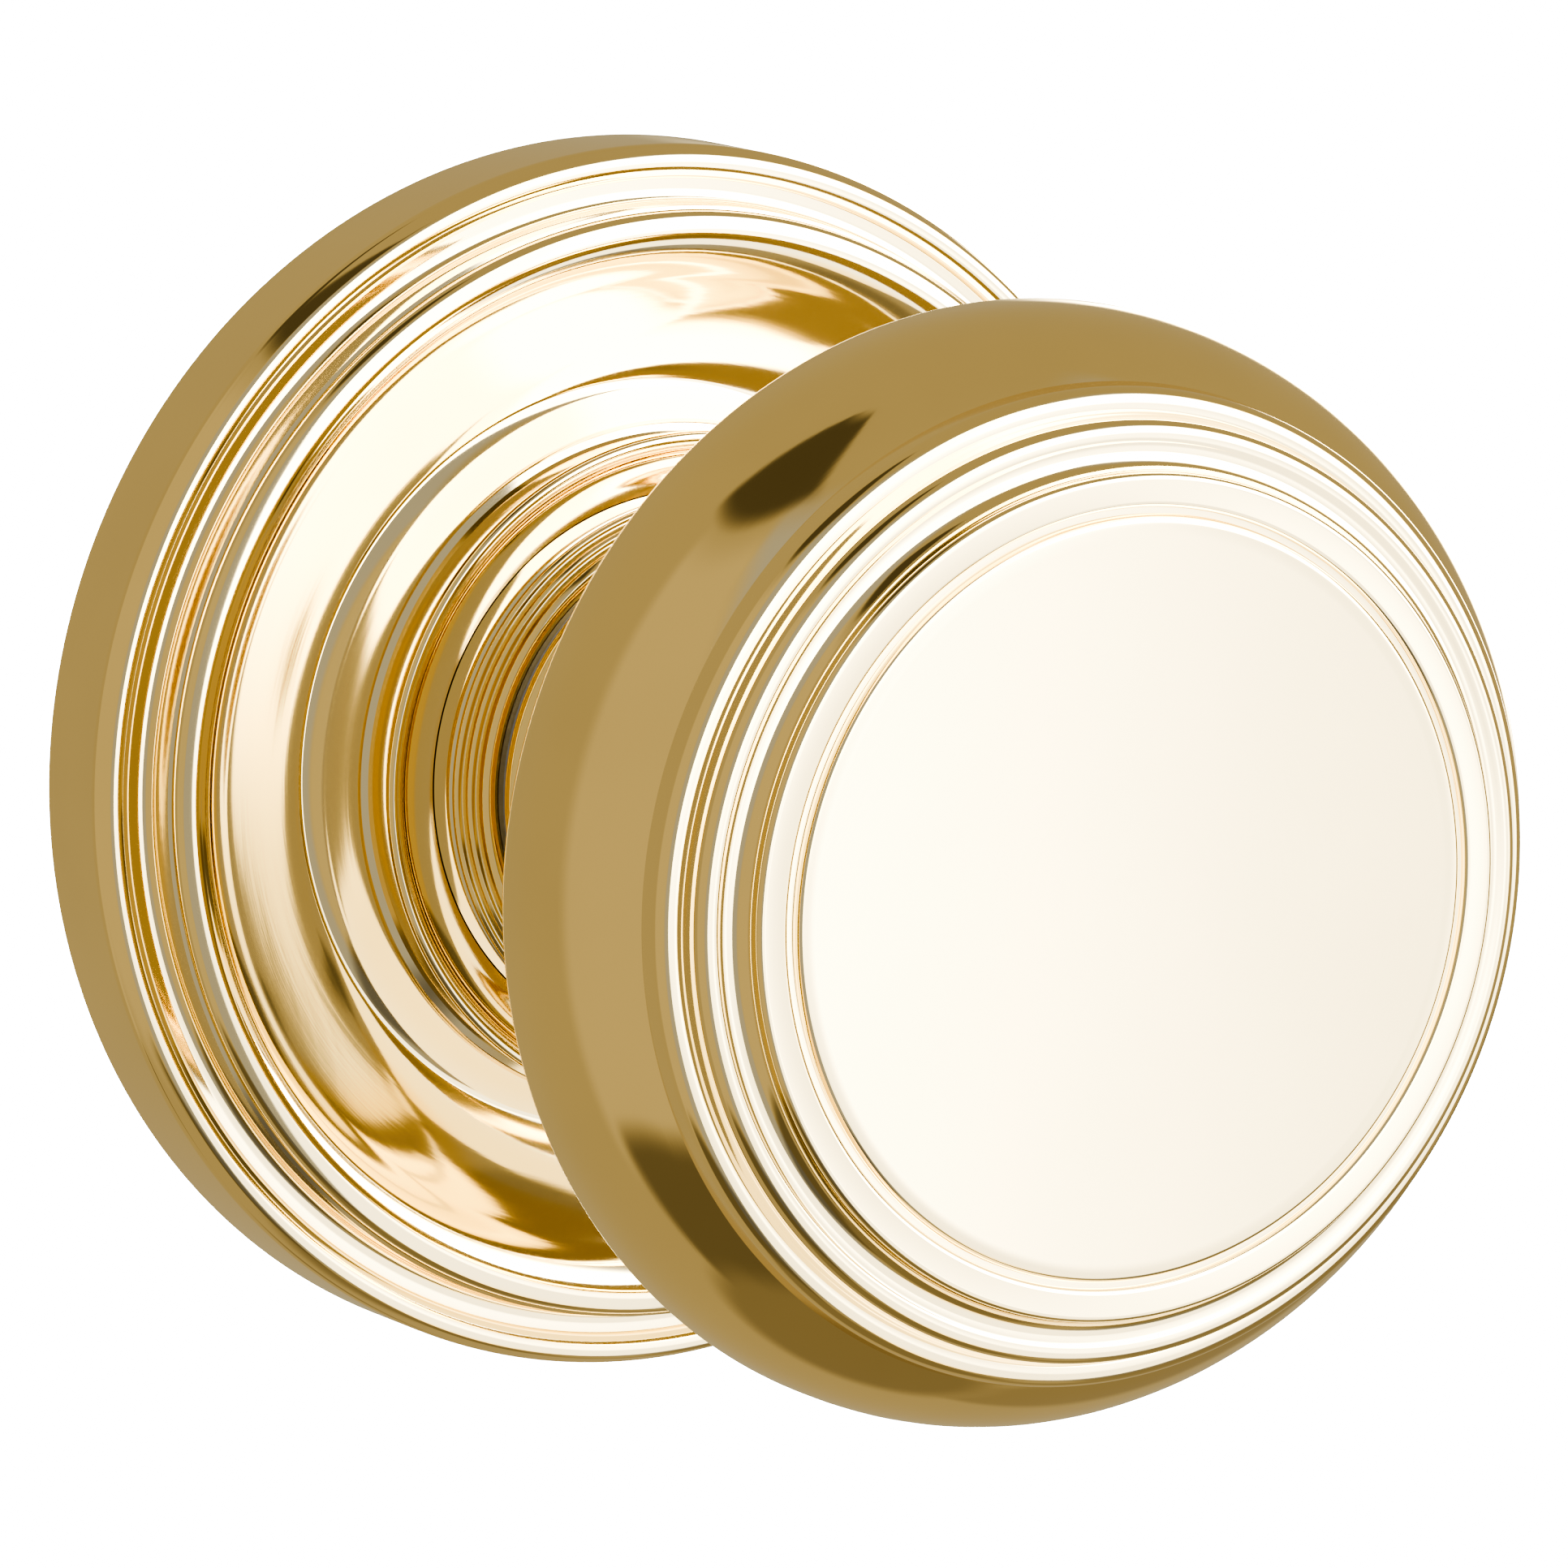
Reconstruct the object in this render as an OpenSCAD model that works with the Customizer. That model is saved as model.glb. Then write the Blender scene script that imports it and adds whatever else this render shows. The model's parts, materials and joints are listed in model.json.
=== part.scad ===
// Door knob on a round rose: one side of a sprung passage set, in millimetres.
// The origin is the centre of the rose's back, on the face of the door.
// The knob points along -Y, the spindle runs into the door along +Y, and +Z is up.

/* [Knob] */
// Largest diameter of the knob, over its shoulder
knob_d = 57.6; // [46:0.2:72]
// Distance from the door to the rim of the knob's face
knob_reach = 55.4; // [50:0.2:70]
// Thickness of the knob, from its back edge to the rim of its face
knob_t = 13.9; // [13:0.1:18]
// Width of the moulded rim around the flat face
rim_w = 9.7; // [9.5:0.1:12]
// Radius of the round shoulder
shoulder_r = 9.1; // [8.6:0.1:9.6]
// Crown of the face above its rim
face_crown = 0.5; // [0.2:0.1:1.5]
// Wall of the pressed shells
shell_t = 1.6; // [1.2:0.1:2]

/* [Rose] */
// Diameter of the rose
rose_d = 66; // [60:0.5:80]
// Height of the rose's plain outer wall
rose_wall_h = 5; // [4.6:0.1:8]
// Thickness of the rose's metal
rose_t = 1.3; // [1:0.1:1.6]
// Diameter over the rim of the raised hub in the middle of the rose
hub_d = 35.8; // [34:0.2:42]
// Height of the hub's rim above the door
hub_h = 10.4; // [9.4:0.1:12]

/* [Neck] */
// Diameter of the neck collar where it passes through the rose
collar_d = 29.8; // [28:0.2:32]
// Height of the neck collar above the door
collar_h = 13.2; // [12.8:0.1:16]
// Diameter of the shank where it turns in its bush
journal_d = 20; // [16:0.5:22]
// Wall of the neck bush
bush_t = 1.5; // [1.2:0.1:2]
// Diameter of the narrowest part of the neck
waist_d = 23.6; // [22:0.2:26]

/* [Spring case] */
// Inner diameter of the spring case
case_d = 26; // [25:0.5:28]
// Wall of the spring case
case_t = 1.8; // [1.5:0.1:2.2]
// Depth of the spring case behind the face of the door
case_depth = 12.2; // [11.6:0.1:16]
// Diameter of the shank's tail inside the spring case
tail_d = 15; // [13:0.2:16]
// Thickness of the drive cam
cam_t = 1.8; // [1.5:0.1:2.5]
// Turn of the knob each way, in degrees
turn = 60; // [30:1:75]
// Wire diameter of the return spring
wire_d = 1.6; // [1:0.1:1.7]
// Turns in the return spring
spring_turns = 3.5; // [2.5:1:3.5]

/* [Fixing] */
// Spacing of the two threaded posts
post_spacing = 38.1; // [37:0.1:44]
// Diameter of the threaded posts
post_d = 6.8; // [6:0.1:7.4]
// Length of the threaded posts behind the face of the door
post_len = 20; // [16:1:30]
// Diameter of the tapped hole in each post
post_hole_d = 4.2; // [3.3:0.1:4.5]
// Width across the flats of the square spindle
spindle_w = 7.94; // [6:0.02:8]
// Length of the spindle behind the face of the door
spindle_len = 52; // [45:1:70]

/* [Clearances] */
// Running clearance on the radius between the shank and what it turns in
run_gap = 0.05; // [0.02:0.01:0.08]
// Gap between faces that slide past each other
face_gap = 0.05; // [0.03:0.01:0.2]
// Gap at each side of the spindle in its socket
socket_gap = 0.08; // [0.05:0.01:0.15]
// Free space around parts that turn past fixed ones
free_gap = 0.4; // [0.3:0.1:1]

/* [Hidden] */

brass = [0.76, 0.62, 0.34];
steel = [0.62, 0.63, 0.65];
zinc = [0.70, 0.71, 0.72];
nylon = [0.16, 0.15, 0.14];

$fn = 96;
eps = 0.01;

// Knob
knob_r = knob_d / 2;
back_z = knob_reach - knob_t;
face_r = knob_r - rim_w;
shoulder_z = knob_reach - 11.7;
shoulder_c = knob_r - shoulder_r;
shoulder_top = knob_reach - 4.7;
roll_r = 1.2;
lip_t = 0.8;
lip_w = 3.4;
flange_t = 1.2;
disc_t = 1;
ledge_w = 1.4;
flange_z = back_z + lip_t;
disc_z = flange_z + flange_t;
ledge_z = disc_z + disc_t;
cavity_r = knob_r - shell_t;

// Rose
rose_r = rose_d / 2;
hub_r = hub_d / 2;
collar_r = collar_d / 2;
hub_foot = hub_r + 2.3;
dish_z = hub_h - 6.4;
ogee_r = rose_r - 7;
ogee_z = rose_wall_h + 2;
funnel_z = hub_h - 1.4;

// Mounting plate
plate_t = 1.6;
plate_r = rose_r - rose_t - 0.5;
plate_rim_t = 1.4;
plate_rim_h = 4;

// Neck and shank
journal_r = journal_d / 2;
bush_r = journal_r + run_gap + bush_t;
washer_t = 0.6;
washer_r = collar_r - 1.9;
neck_z = collar_h + washer_t + face_gap;
neck_r = collar_r - 1.3;
waist_r = waist_d / 2;
bead_h = 1.6;
seat_z = neck_z + 10.2;
spigot_r = journal_r + 0.2;
tail_r = tail_d / 2;
step_z = plate_t + free_gap;
socket_w = spindle_w + 2 * socket_gap;
socket_top = neck_z + 8.6;
spindle_top = socket_top - 1.5;
grub_z = neck_z + 5;
grub_r = 3;
tail_hole_r = tail_r + 0.7;

// Spring case, measured forwards from the door, so depths are negative
case_r = case_d / 2;
case_floor = 2;
cover_t = 1.2;
cover_z = -case_depth;
cover_back = cover_z - cover_t;
cam_back = cover_z + 0.7;
cam_front = cam_back + cam_t;
cam_r = case_r - 0.3;
tab_half = 12;
flat_w = tail_d - 2.6;
stop_r = case_r - 1.3;
stop_span = 14;
stop_gap = 0.6;
ring_t = 1;
washer_gap = 0.5;
ring_front = cover_back - face_gap - washer_gap;
groove_r = tail_r - 0.6;
tail_end = ring_front - ring_t - 0.7;

// Return spring
wire_r = wire_d / 2;
spring_hole_r = wire_r + 0.15;
cam_body_r = stop_r - 0.3;
coil_r = cam_body_r - 0.6 - spring_hole_r;
coil_top = -case_floor - wire_r - 0.2;
coil_end = cam_front + wire_r + 0.2;
spring_start = 0;
spring_end = spring_start + 360 * spring_turns;
spring_bend = wire_d * 0.75;
steps_per_turn = 18;

// Screws
screw_r = 1.5;
lug_r = 3.4;
lug_y = case_r + case_t + 2.8;
head_r = 2.8;
head_h = 1.8;
post_r = post_d / 2;
post_x = post_spacing / 2;
tenon_r = 2.55;
rivet_r = 3.8;
rivet_h = 0.8;
post_floor = 4;
rose_screw_r = 1.5;
rose_screw_z = 2.6;

// Points along an arc about (cx, cy), from angle a0 to a1 in n steps
function arc(cx, cy, r, a0, a1, n) =
    [for (i = [0:n]) let (a = a0 + (a1 - a0) * i / n) [cx + r * cos(a), cy + r * sin(a)]];

// Points along a cubic curve from p0 to p3, pulled towards p1 and p2
function curve(p0, p1, p2, p3, n) =
    [for (i = [0:n]) let (t = i / n, s = 1 - t)
        s * s * s * p0 + 3 * s * s * t * p1 + 3 * s * t * t * p2 + t * t * t * p3];

// Shapes are drawn with their axis up and their back at zero, then turned to face along -Y
module facing() {
    rotate([90, 0, 0]) children();
}

module turned(points) {
    rotate_extrude() polygon(points);
}

module ring(r_out, r_in, z0, z1) {
    translate([0, 0, z0]) difference() {
        cylinder(r = r_out, h = z1 - z0);
        translate([0, 0, -eps]) cylinder(r = r_in, h = z1 - z0 + 2 * eps);
    }
}

// A hole or rod from z0 to z1, standing at (x, y)
module rod(r, z0, z1, x = 0, y = 0) {
    translate([x, y, z0]) cylinder(r = r, h = z1 - z0);
}

// A wedge from the axis out to radius r, centred on an angle
module wedge(r, middle, half, z0, z1) {
    translate([0, 0, z0])
        linear_extrude(z1 - z0)
            polygon(concat([[0, 0]], arc(0, 0, r, middle - half, middle + half, 12)));
}

// ---- Pieces that turn with the knob ----

// Outer line of the front shell, from the centre of the face to the back edge
function front_line() =
    let (
        top = knob_reach,
        crown_r = (face_r * face_r + face_crown * face_crown) / (2 * face_crown),
        crown_half = asin(face_r / crown_r),
        shoulder_a = asin((shoulder_top - shoulder_z) / shoulder_r)
    )
    concat(
        arc(0, top + face_crown - crown_r, crown_r, 90, 90 - crown_half, 8),
        [[face_r + 0.15, top - 0.5], [face_r + 0.5, top - 0.5]],
        arc(face_r + 1, top - 0.6, 0.4, 170, 100, 3),
        [[face_r + 1.7, top - 0.2]],
        arc(face_r + 2, top - 0.55, 0.35, 80, 0, 4),
        arc(face_r + 3.5, top - 0.65, 1.15, 180, 260, 6),
        arc(face_r + 4.05, top - 2.4, 0.75, 120, -10, 8),
        [[face_r + 4.82, top - 2.95]],
        arc(face_r + 5.35, top - 4.05, 0.95, 115, 5, 8),
        arc(shoulder_c, shoulder_z, shoulder_r, shoulder_a, 0, 20),
        arc(knob_r - roll_r, back_z + roll_r, roll_r, 0, -90, 8)
    );

module knob_front_shell() {
    top = knob_reach;
    inner_r = shoulder_r - shell_t - ledge_w;
    inner_a = asin((ledge_z - shoulder_z) / inner_r);
    color(brass) facing() turned(concat(
        front_line(),
        [
            [knob_r - lip_w, back_z],
            [knob_r - lip_w, flange_z],
            [cavity_r, flange_z],
            [cavity_r, ledge_z]
        ],
        arc(shoulder_c, shoulder_z, inner_r, inner_a, 65, 8),
        [
            [face_r + 1.6, top - 4.6],
            [face_r - 0.8, top - 2.3],
            [0, top - 1.8]
        ]
    ));
}

// The rear shell flares from the neck to a flange that the front shell is rolled over
module knob_rear_shell() {
    lip_r = knob_r - lip_w - 0.2;
    flange_r = cavity_r - 0.1;
    outer = curve([waist_r + 0.6, seat_z], [waist_r + 0.4, seat_z + 9],
                  [lip_r - 8, back_z - 0.6], [lip_r, back_z + 0.2], 20);
    inner = curve([lip_r - 1.2, disc_z], [lip_r - 9, back_z + 0.6],
                  [spigot_r + 0.9, seat_z + 13], [spigot_r + face_gap, seat_z + 7], 16);
    color(brass) facing() turned(concat(
        [[spigot_r + face_gap, seat_z]],
        outer,
        [[lip_r, flange_z], [flange_r, flange_z], [flange_r, disc_z]],
        inner
    ));
}

// A pressed disc that ties the shank to the shells
module stiffening_disc() {
    hole_r = 2.6;
    color(steel) facing() difference() {
        ring(cavity_r - 0.1, spigot_r - 2, disc_z, ledge_z);
        for (a = [30:60:330])
            rotate(a) rod(hole_r, disc_z - 1, ledge_z + 1, (spigot_r + cavity_r) / 2);
    }
}

module knob_shank() {
    rivet_top = ledge_z + 1.4;
    flat_len = cam_front - tail_end;
    color(brass) facing() difference() {
        turned(concat(
            [
                [0, tail_end],
                [tail_r - 0.5, tail_end],
                [tail_r, tail_end + 0.5],
                [tail_r, ring_front - ring_t],
                [groove_r, ring_front - ring_t],
                [groove_r, ring_front],
                [tail_r, ring_front],
                [tail_r, step_z],
                [journal_r, step_z],
                [journal_r, neck_z],
                [neck_r - 0.4, neck_z]
            ],
            arc(neck_r - bead_h / 2, neck_z + bead_h / 2, bead_h / 2, -60, 90, 8),
            curve([neck_r - 1.4, neck_z + bead_h], [waist_r, neck_z + bead_h + 0.4],
                  [waist_r, neck_z + 5], [waist_r + 0.6, seat_z], 12),
            [
                [spigot_r, seat_z],
                [spigot_r, disc_z],
                [spigot_r - 2 - 0.05, disc_z],
                [spigot_r - 2 - 0.05, ledge_z],
                [spigot_r - 0.6, ledge_z],
                [spigot_r - 0.8, rivet_top - 0.4],
                [spigot_r - 1.2, rivet_top],
                [0, rivet_top]
            ]
        ));
        translate([-socket_w / 2, -socket_w / 2, tail_end - 1])
            cube([socket_w, socket_w, socket_top - tail_end + 1]);
        for (side = [0, 180])
            rotate(side) translate([-tail_r, flat_w / 2, tail_end - 1])
                cube([tail_d, tail_r, flat_len + 1]);
        translate([0, 0, grub_z]) rotate([90, 0, 0]) cylinder(r = grub_r, h = neck_r + 1);
    }
}

// Clamps the shank on the spindle, from below
module shank_grub_screw() {
    tip = spindle_w / 2;
    len = waist_r - tip - 0.5;
    hex_w = 3;
    color(steel) facing() translate([0, -tip, grub_z]) rotate([90, 0, 0]) difference() {
        cylinder(r = grub_r, h = len);
        translate([0, 0, len - 2.5]) cylinder(d = hex_w / cos(30), h = 3, $fn = 6);
    }
}

module spindle() {
    color(steel) facing()
        translate([-spindle_w / 2, -spindle_w / 2, -spindle_len])
            cube([spindle_w, spindle_w, spindle_len + spindle_top]);
}

// Profile of the tail with its two flats, grown by a gap
module tail_flats(gap) {
    intersection() {
        circle(r = tail_r + gap);
        square([tail_d + 2, flat_w + 2 * gap], center = true);
    }
}

// Sits on the flats of the shank, carries the spring's tail and stops against the case
module drive_cam() {
    color(steel) facing() difference() {
        union() {
            rod(cam_body_r, cam_back, cam_front);
            intersection() {
                rod(cam_r, cam_back, cam_front);
                wedge(cam_r + 2, 90, tab_half, cam_back, cam_front);
            }
        }
        translate([0, 0, cam_back - 1]) linear_extrude(cam_t + 2) tail_flats(0.02);
        rotate(spring_end)
            rod(spring_hole_r, cam_back - 1, cam_front + 1, coil_r);
    }
}

// An open ring with two eared ends, in the groove of the tail
module retaining_ring() {
    ring_r = tail_r + 1.9;
    gap_half = 14;
    ear_r = 1.5;
    ear_hole_r = 0.6;
    ear_angles = [90 - gap_half - 10, 90 + gap_half + 10];
    color(steel) facing() translate([0, 0, ring_front - ring_t]) linear_extrude(ring_t) difference() {
        union() {
            circle(r = ring_r);
            for (a = ear_angles)
                rotate(a) translate([ring_r, 0]) circle(r = ear_r);
        }
        circle(r = groove_r + 0.02);
        polygon([
            [0, 0],
            [2 * ring_r * cos(90 - gap_half), 2 * ring_r],
            [2 * ring_r * cos(90 + gap_half), 2 * ring_r]
        ]);
        for (a = ear_angles)
            rotate(a) translate([ring_r + 0.2, 0]) circle(r = ear_hole_r, $fn = 24);
    }
}

// A coned washer that takes up end play behind the cover
module spring_washer() {
    in_r = tail_r + 0.2;
    out_r = tail_r + 3.4;
    rise = washer_gap - 0.3;
    color(steel) facing() turned([
        [in_r, ring_front],
        [out_r, ring_front + rise],
        [out_r, ring_front + washer_gap],
        [in_r, ring_front + 0.3]
    ]);
}

// ---- Pieces that stay on the door ----

// Outer line of the rose, from its back rim to the hole for the collar
function rose_line() =
    let (r = rose_r, w = rose_wall_h)
    concat(
        [[r, 0]],
        arc(r - 0.65, w, 0.65, 0, 40, 4),
        arc(r - 1, w + 0.55, 0.85, 45, 155, 10),
        [[r - 1.75, w + 0.65], [r - 2.15, w + 0.7]],
        arc(r - 2.2, w + 1.65, 0.9, 270, 200, 5),
        [[r - 3.05, w + 2.85], [r - 3.2, w + 2.95]],
        arc(r - 3.95, w + 3.1, 0.7, 10, 60, 4),
        curve([r - 3.9, w + 3.85], [r - 4.8, w + 4.4], [ogee_r + 0.9, ogee_z + 0.75],
              [ogee_r, ogee_z], 12),
        curve([ogee_r - 0.1, ogee_z - 0.08], [ogee_r - 0.9, ogee_z - 0.75], [hub_foot + 2.4, dish_z],
              [hub_foot, dish_z], 14),
        curve([hub_foot - 0.1, dish_z + 0.02], [hub_foot - 1, dish_z + 0.5],
              [hub_r + 0.55, dish_z + 1.8], [hub_r + 0.5, dish_z + 3.2], 8),
        [[hub_r + 0.3, dish_z + 3.4], [hub_r + 0.3, hub_h - 0.5]],
        arc(hub_r - 0.1, hub_h - 0.4, 0.4, 0, 120, 6),
        curve([hub_r - 0.5, hub_h - 0.2], [hub_r - 0.9, hub_h - 1.2],
              [collar_r + 1.4, funnel_z], [collar_r + face_gap, funnel_z], 8)
    );

module rose() {
    r = rose_r;
    w = rose_wall_h;
    t = rose_t;
    color(brass) facing() difference() {
        turned(concat(
            rose_line(),
            [
                [collar_r + face_gap, funnel_z - t],
                [hub_r - 1, funnel_z - t],
                [hub_r - 1, dish_z + 1],
                [hub_foot - 0.6, dish_z - t]
            ],
            curve([hub_foot + 0.4, dish_z - t], [hub_foot + 3, dish_z - t],
                  [ogee_r, ogee_z - t * 1.4], [ogee_r + 0.8, ogee_z - t * 0.8], 8),
            [
                [r - 5.2, w + 4.1 - t],
                [r - 4.5, w + 3.4 - t],
                [r - 4.4, w + 0.2],
                [r - 3.6, w - 0.7],
                [r - t, w - 0.7],
                [r - t, 0]
            ]
        ));
        translate([0, 0, rose_screw_z]) rotate([90, 0, 0]) cylinder(r = rose_screw_r, h = r + 1);
    }
}

// The stepped collar stands on the plate, and its flange backs the rose's hub
module neck_collar() {
    flange_top = funnel_z - rose_t;
    flange_r = collar_r + 1.6;
    r = collar_r;
    h = collar_h;
    color(brass) facing() turned([
        [bush_r, plate_t],
        [r, plate_t],
        [r, flange_top - 1.2],
        [flange_r, flange_top - 1.2],
        [flange_r, flange_top],
        [r, flange_top],
        [r, h - 2.5],
        [r - 0.2, h - 2.4],
        [r - 0.2, h - 2.25],
        [r, h - 2.15],
        [r, h - 1.9],
        [r - 0.15, h - 1.75],
        [r - 0.4, h - 1.7],
        [r - 0.4, h - 1.15],
        [r - 0.55, h - 1],
        [r - 0.8, h - 0.95],
        [r - 0.8, h - 0.25],
        [r - 1.05, h],
        [bush_r, h]
    ]);
}

module neck_bush() {
    color(nylon) facing() ring(bush_r - 0.02, journal_r + run_gap, plate_t, collar_h);
}

module thrust_washer() {
    color(nylon) facing() ring(washer_r, journal_r + run_gap + 0.1, collar_h, collar_h + washer_t);
}

module mounting_plate() {
    slot_r = plate_r - 5.2;
    slot_w = 4.4;
    slot_half = 11;
    color(steel) facing() difference() {
        union() {
            ring(plate_r, tail_hole_r, 0, plate_t);
            ring(plate_r, plate_r - plate_rim_t, 0, plate_rim_h);
        }
        for (side = [-1, 1]) {
            rod(tenon_r, -1, plate_t + 1, side * post_x);
            rod(screw_r, -1, plate_t + 1, 0, side * lug_y);
        }
        for (middle = [45:90:315]) {
            intersection() {
                ring(slot_r + slot_w / 2, slot_r - slot_w / 2, -1, plate_t + 1);
                wedge(plate_r * 1.2, middle, slot_half, -1, plate_t + 1);
            }
            for (end = [-slot_half, slot_half])
                rotate(middle + end) rod(slot_w / 2, -1, plate_t + 1, slot_r);
        }
        translate([0, 0, rose_screw_z]) rotate([90, 0, 0]) cylinder(r = rose_screw_r, h = rose_r);
    }
}

// Two tapped posts, each riveted through the mounting plate
module threaded_posts() {
    color(steel) facing()
        for (side = [-1, 1]) translate([side * post_x, 0, 0]) difference() {
            union() {
                rod(post_r, -post_len, 0);
                rod(tenon_r - 0.01, -eps, plate_t);
                rod(rivet_r, plate_t, plate_t + rivet_h);
            }
            rod(post_hole_d / 2, -post_len - 1, -post_floor);
        }
}

// Outline of the case and its cover, with a lug for a screw at top and bottom
module case_outline() {
    circle(r = case_r + case_t);
    for (side = [-1, 1]) {
        translate([0, side * lug_y]) circle(r = lug_r);
        translate([-lug_r, side * (lug_y + case_r) / 2 - (lug_y - case_r) / 2])
            square([2 * lug_r, lug_y - case_r]);
    }
}

module spring_case() {
    stop_middle = tab_half + turn + stop_gap + stop_span / 2;
    stop_top = cam_front + 0.3;
    color(zinc) facing() difference() {
        union() {
            difference() {
                translate([0, 0, -case_depth]) linear_extrude(case_depth) case_outline();
                rod(case_r, -case_depth - 1, -case_floor);
            }
            for (side = [-1, 1]) intersection() {
                ring(case_r + eps, stop_r, -case_depth, stop_top);
                wedge(case_r + 4, 90 + side * stop_middle, stop_span / 2, -case_depth, stop_top);
            }
        }
        rod(tail_hole_r, -case_floor - 1, 1);
        for (side = [-1, 1]) rod(screw_r, -case_depth - 1, 1, 0, side * lug_y);
        rotate(spring_start) rod(spring_hole_r, -case_floor - 1, 1, coil_r);
    }
}

module case_cover() {
    color(steel) facing() difference() {
        translate([0, 0, cover_back]) linear_extrude(cover_t) case_outline();
        rod(tail_r + run_gap, cover_back - 1, cover_z + 1);
        for (side = [-1, 1]) rod(screw_r, cover_back - 1, cover_z + 1, 0, side * lug_y);
    }
}

module cover_screws() {
    slot_w = 0.8;
    color(steel) facing()
        for (side = [-1, 1]) translate([0, side * lug_y, 0]) difference() {
            union() {
                rod(screw_r - 0.01, cover_back - eps, plate_t);
                rod(head_r, cover_back - head_h, cover_back);
            }
            for (a = [0, 90])
                rotate(a) translate([-head_r * 0.7, -slot_w / 2, cover_back - head_h - 1])
                    cube([head_r * 1.4, slot_w, 2]);
        }
}

// Holds the rose on the rim of the plate, from below
module rose_grub_screw() {
    inner = plate_r - plate_rim_t;
    len = rose_r - inner - 0.3;
    hex_w = 1.5;
    color(steel) facing() translate([0, -inner, rose_screw_z]) rotate([90, 0, 0]) difference() {
        cylinder(r = rose_screw_r, h = len);
        translate([0, 0, len - 1.4]) cylinder(d = hex_w / cos(30), h = 2, $fn = 6);
    }
}

// Centre line of the return spring: a peg into the case, the coil, and a peg into the cam
function on_coil(a, z) = [coil_r * cos(a), coil_r * sin(a), z];
function bend_points(a, dir, z, up) =
    [for (k = [0, 30, 60])
        on_coil(a + dir * asin(spring_bend / coil_r) * (1 - cos(k)), z + up * spring_bend * (1 - sin(k)))];
function spring_path() =
    let (
        count = round(spring_turns * steps_per_turn),
        turn_a = asin(spring_bend / coil_r),
        coil = [for (i = [0:count]) let (k = i / count)
            on_coil(spring_start + turn_a + (spring_end - spring_start - 2 * turn_a) * k,
                    coil_top + (coil_end - coil_top) * k)]
    )
    concat(
        [on_coil(spring_start, -0.6)],
        bend_points(spring_start, 1, coil_top, 1),
        coil,
        [for (p = [2:-1:0]) bend_points(spring_end, -1, coil_end, -1)[p]],
        [on_coil(spring_end, cam_back + 0.3)]
    );

// A round wire of radius r swept along a path about the Z axis
module wire(path, r, sides) {
    last = len(path) - 1;
    rings = [for (i = [0:last])
        let (
            ahead = path[min(i + 1, last)] - path[max(i - 1, 0)],
            t = ahead / norm(ahead),
            out = [path[i][0], path[i][1], 0] / norm([path[i][0], path[i][1]]),
            side = out - (out * t) * t,
            n = side / norm(side),
            b = cross(t, n)
        )
        [for (k = [0:sides - 1]) let (a = 360 * k / sides) path[i] + r * (cos(a) * n + sin(a) * b)]];
    points = [for (row = rings) for (p = row) p];
    walls = [for (i = [0:last - 1]) for (k = [0:sides - 1])
        let (a = i * sides + k, b = i * sides + (k + 1) % sides)
        [a, a + sides, b + sides, b]];
    caps = [[for (k = [0:sides - 1]) k], [for (k = [sides - 1:-1:0]) last * sides + k]];
    polyhedron(points, concat(walls, caps));
}

module return_spring() {
    color(steel) facing() wire(spring_path(), wire_r, 8);
}

knob_front_shell();
knob_rear_shell();
stiffening_disc();
knob_shank();
shank_grub_screw();
spindle();
drive_cam();
retaining_ring();
spring_washer();
rose();
neck_collar();
neck_bush();
thrust_washer();
mounting_plate();
threaded_posts();
spring_case();
return_spring();
case_cover();
cover_screws();
rose_grub_screw();
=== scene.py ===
"""Door knob on a round rose: the finished look of every piece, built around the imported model."""

import json
import math

import bmesh
import bpy
from bpy.props import FloatProperty, FloatVectorProperty, PointerProperty
from mathutils import Matrix, Vector


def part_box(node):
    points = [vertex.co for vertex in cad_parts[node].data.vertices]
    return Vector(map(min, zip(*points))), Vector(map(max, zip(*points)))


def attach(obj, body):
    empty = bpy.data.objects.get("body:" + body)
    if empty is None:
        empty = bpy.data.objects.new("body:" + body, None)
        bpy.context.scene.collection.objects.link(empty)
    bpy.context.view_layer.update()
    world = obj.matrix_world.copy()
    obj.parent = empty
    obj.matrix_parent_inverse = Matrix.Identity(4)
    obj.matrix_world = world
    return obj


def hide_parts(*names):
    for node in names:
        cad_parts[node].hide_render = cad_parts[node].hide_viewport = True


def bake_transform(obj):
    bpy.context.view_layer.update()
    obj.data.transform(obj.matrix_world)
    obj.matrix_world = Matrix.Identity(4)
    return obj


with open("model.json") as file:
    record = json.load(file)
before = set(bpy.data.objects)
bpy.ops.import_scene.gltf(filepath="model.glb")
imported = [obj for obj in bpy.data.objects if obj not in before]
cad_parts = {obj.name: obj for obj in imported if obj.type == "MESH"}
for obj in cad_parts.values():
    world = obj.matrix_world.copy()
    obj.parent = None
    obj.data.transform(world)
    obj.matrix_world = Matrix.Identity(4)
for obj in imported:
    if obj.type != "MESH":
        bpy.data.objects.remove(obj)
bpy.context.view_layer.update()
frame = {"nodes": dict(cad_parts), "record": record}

bl_info = {
    "name": "Door knob finishes",
    "version": (1, 0, 0),
    "blender": (4, 5, 0),
    "location": "View3D > Sidebar > Door knob",
    "description": "Turned brass, plated steel and studio stage for a sprung door knob",
    "category": "Object",
}

MM = 0.001
AROUND = 256  # flats round a turned piece
SHARP = math.radians(34)
ARC_STEP = 5  # degrees between points on an arc
SPRING_TURNS = 3.5
WARM_WALLS = (1.0, 0.85, 0.54)  # colour of the light tent outside its white front
BACKDROP = 9.0  # strength of the plain ground that the camera sees


# ---- Sizes: what the frame gives, and what a user may set ----

def front_of(node):
    """How far a node stands in front of the door, in mm."""
    return -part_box(node)[0].y / MM


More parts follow.
